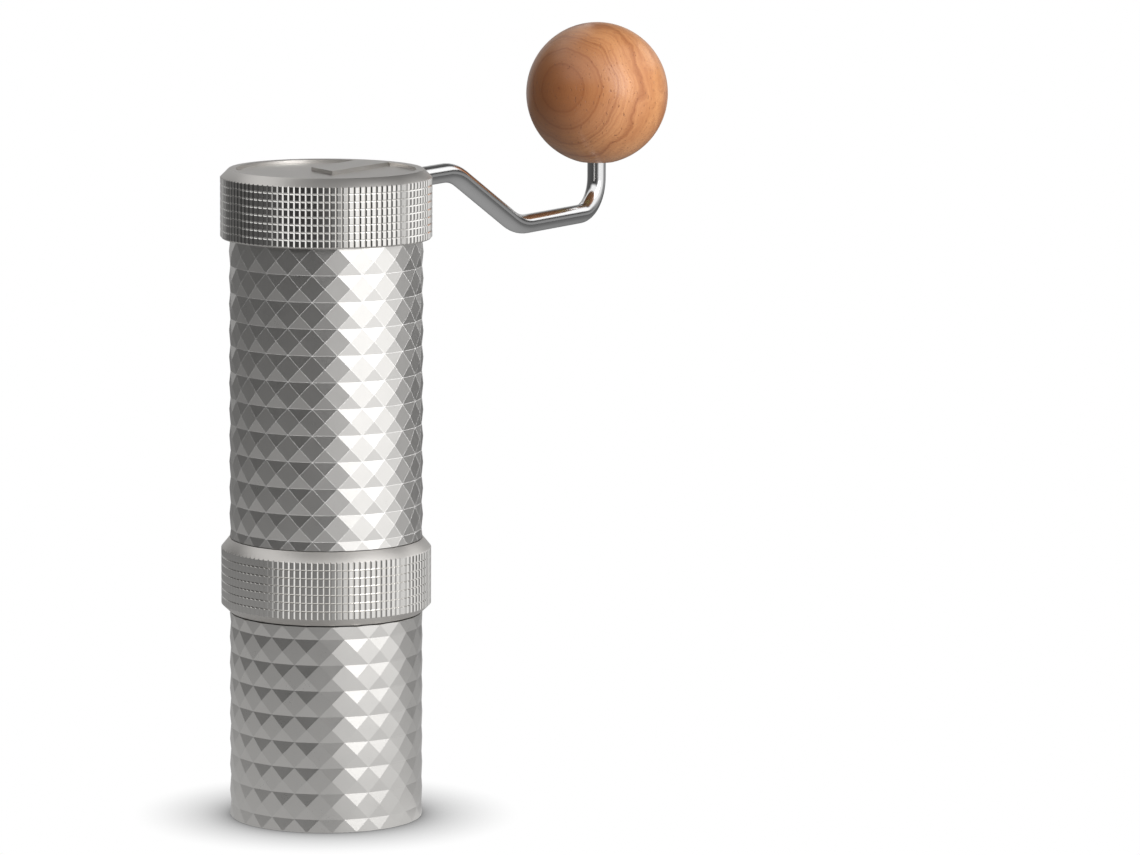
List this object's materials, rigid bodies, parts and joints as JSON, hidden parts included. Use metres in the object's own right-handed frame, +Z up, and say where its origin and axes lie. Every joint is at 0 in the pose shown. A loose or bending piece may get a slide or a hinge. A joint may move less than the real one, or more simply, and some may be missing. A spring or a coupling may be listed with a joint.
{
  "type": "hand crank coffee grinder",
  "caption": "Slim cylindrical hand coffee grinder with faceted metal shells, knurled lid and grind ring, bent crank rod with a wooden ball knob, and conical burrs inside.",
  "frame": {"origin": "centre of the cup's flat underside, on the drive shaft's axis", "axes": "+Z up along the drive shaft's axis; +X towards the crank arm and its knob"},
  "size_m": [0.1875, 0.055, 0.199],
  "materials": {
    "shell": "fine bead-blasted and anodised, warm grey",
    "frame": "turned, anodised grey",
    "burr_steel": "ground and machined",
    "polished_steel": "polished stainless rod",
    "shaft_steel": "turned",
    "bearing_steel": "ground",
    "fastener_steel": "blackened spring steel",
    "seal_rubber": "moulded silicone",
    "beech": "satin lacquered beech",
    "bushing_brass": "turned"
  },
  "bodies": {
    "root": {"lower_frame": "frame", "ring_circlip": "fastener_steel", "detent_balls": "bearing_steel", "detent_springs": "fastener_steel", "preload_spring": "shaft_steel", "cup_seal": "seal_rubber", "hopper_tube": "shell", "lower_bracket": "frame", "upper_bracket": "frame", "bracket_snap_ring": "fastener_steel", "lower_bearing_outer": "bearing_steel", "lower_bearing_balls": "bearing_steel", "lower_bearing_shields": "bearing_steel", "lower_bearing_clip": "fastener_steel", "upper_bearing_outer": "bearing_steel", "upper_bearing_balls": "bearing_steel", "upper_bearing_shields": "bearing_steel", "upper_bearing_clip": "fastener_steel", "lid_seal": "seal_rubber"},
    "drive": {"drive_shaft": "shaft_steel", "shaft_clip": "fastener_steel", "lower_bearing_inner": "bearing_steel", "upper_bearing_inner": "bearing_steel", "burr_spacer": "shaft_steel", "core_burr": "burr_steel", "burr_washer": "shaft_steel", "burr_screw": "fastener_steel"},
    "grind_ring": {"adjust_ring": "shell"},
    "carrier": {"burr_carrier": "frame", "guide_pins": "shaft_steel", "outer_burr": "burr_steel", "burr_retaining_ring": "fastener_steel"},
    "cup": {"cup_shell": "shell"},
    "crank": {"lid_cap": "shell", "lid_hub": "frame", "lid_screws": "fastener_steel", "arm_set_screw": "fastener_steel", "crank_arm": "polished_steel", "knob_clip": "fastener_steel"},
    "knob": {"knob_ball": "beech", "knob_bushing": "bushing_brass"}
  },
  "joints": [
    {"name": "crank_turn", "type": "hinge", "parent": "root", "child": "drive", "pos_m": [0, 0, 0.07], "axis": [0, 0, 1], "continuous": true},
    {"name": "lid_lift", "type": "slide", "parent": "drive", "child": "crank", "axis": [0, 0, 1], "range_m": [0, 0.06]},
    {"name": "knob_spin", "type": "hinge", "parent": "crank", "child": "knob", "pos_m": [0.1403, 0, 0.1793], "axis": [0, 0, 1], "continuous": true},
    {"name": "ring_turn", "type": "hinge", "parent": "root", "child": "grind_ring", "pos_m": [0, 0, 0.064], "axis": [0, 0, 1], "range_deg": [-360, 360]},
    {"name": "burr_travel", "type": "slide", "parent": "root", "child": "carrier", "axis": [0, 0, 1], "range_m": [-0.0008, 0.0008], "deforming": ["preload_spring"]},
    {"name": "cup_pull", "type": "slide", "parent": "root", "child": "cup", "axis": [0, 0, -1], "range_m": [0, 0.07]}
  ],
  "couplings": [
    {"joint": "burr_travel", "follows": "ring_turn", "m_per_rad": 0.00012732}
  ]
}
